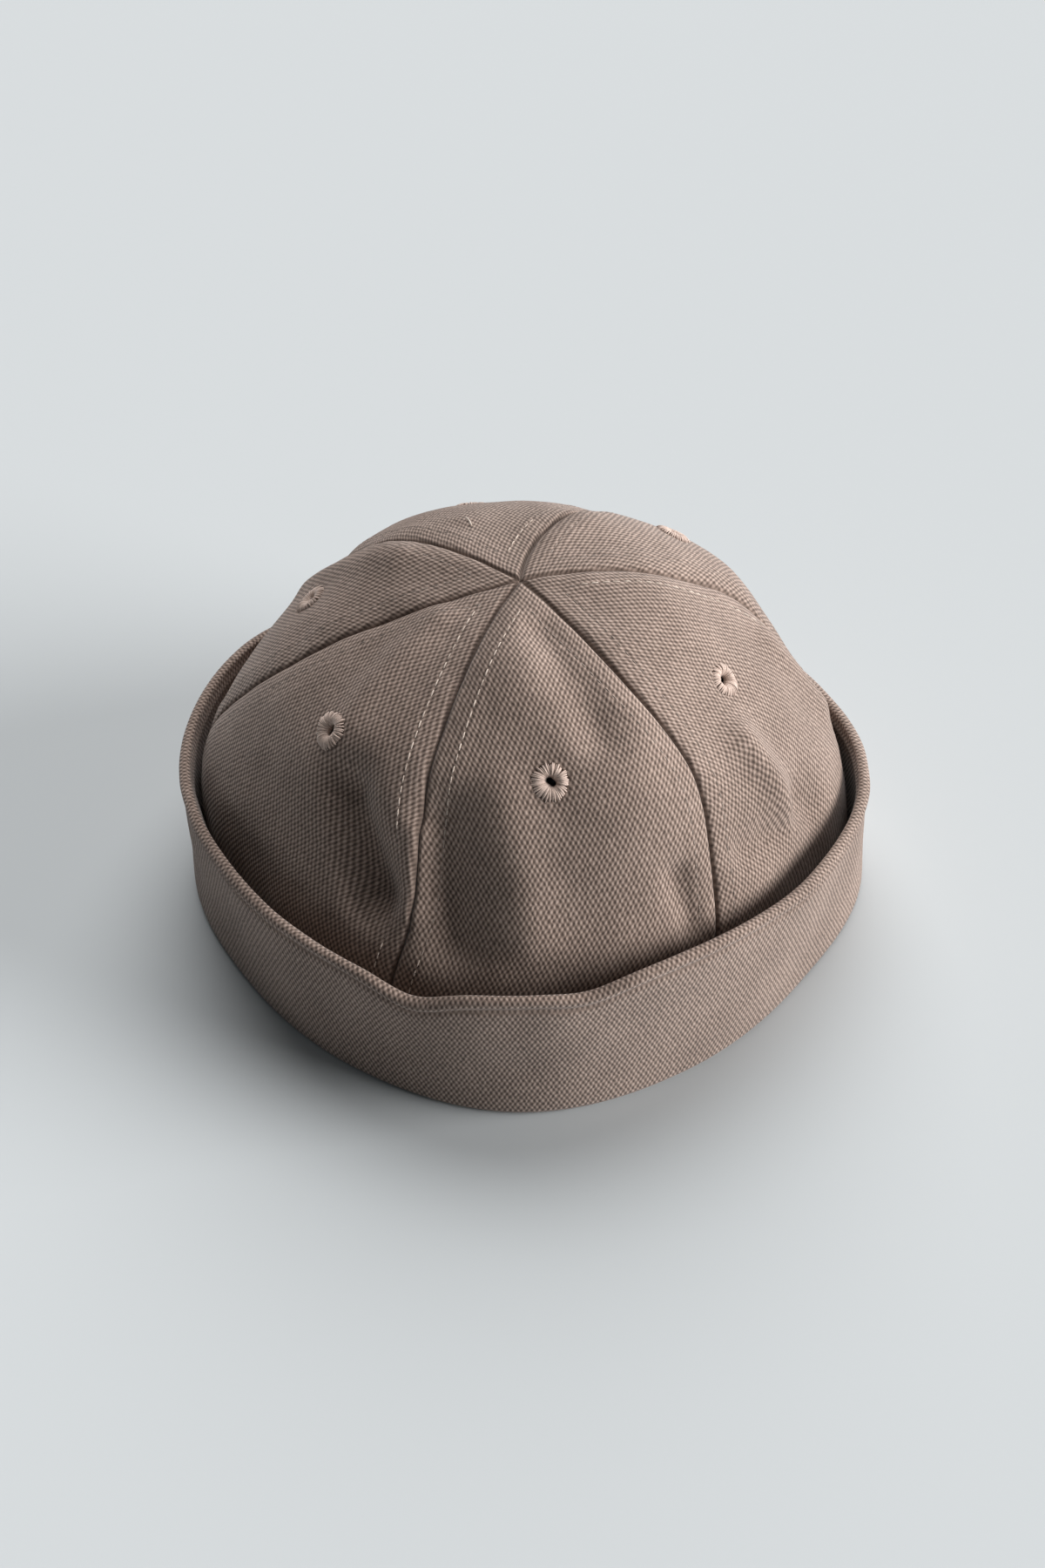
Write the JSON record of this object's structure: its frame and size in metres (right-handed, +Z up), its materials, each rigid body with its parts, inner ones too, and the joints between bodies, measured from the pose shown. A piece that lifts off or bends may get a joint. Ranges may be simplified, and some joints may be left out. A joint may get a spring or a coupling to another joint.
{
  "type": "docker cap",
  "caption": "Brimless canvas cap with a soft panelled crown, stitched ventilation eyelets and a deep turned-up cuff.",
  "frame": {"origin": "middle of the cap's outline, on the surface it stands on", "axes": "+Z up through the crown's top, +X to the cap's right as pictured, +Y to its back; the camera looks from -Y"},
  "size_m": [0.2148, 0.2012, 0.1163],
  "materials": {
    "canvas": "matte plain-weave cotton canvas",
    "eyelet_thread": "matte cotton thread"
  },
  "bodies": {
    "root": {"panel_front": "canvas", "panel_right": "canvas", "panel_back_right": "canvas", "panel_back_left": "canvas", "panel_left": "canvas", "panel_front_left": "canvas", "cuff": "canvas", "eyelet_front": "eyelet_thread", "eyelet_right": "eyelet_thread", "eyelet_back_right": "eyelet_thread", "eyelet_back_left": "eyelet_thread", "eyelet_left": "eyelet_thread", "eyelet_front_left": "eyelet_thread"}
  },
  "joints": []
}
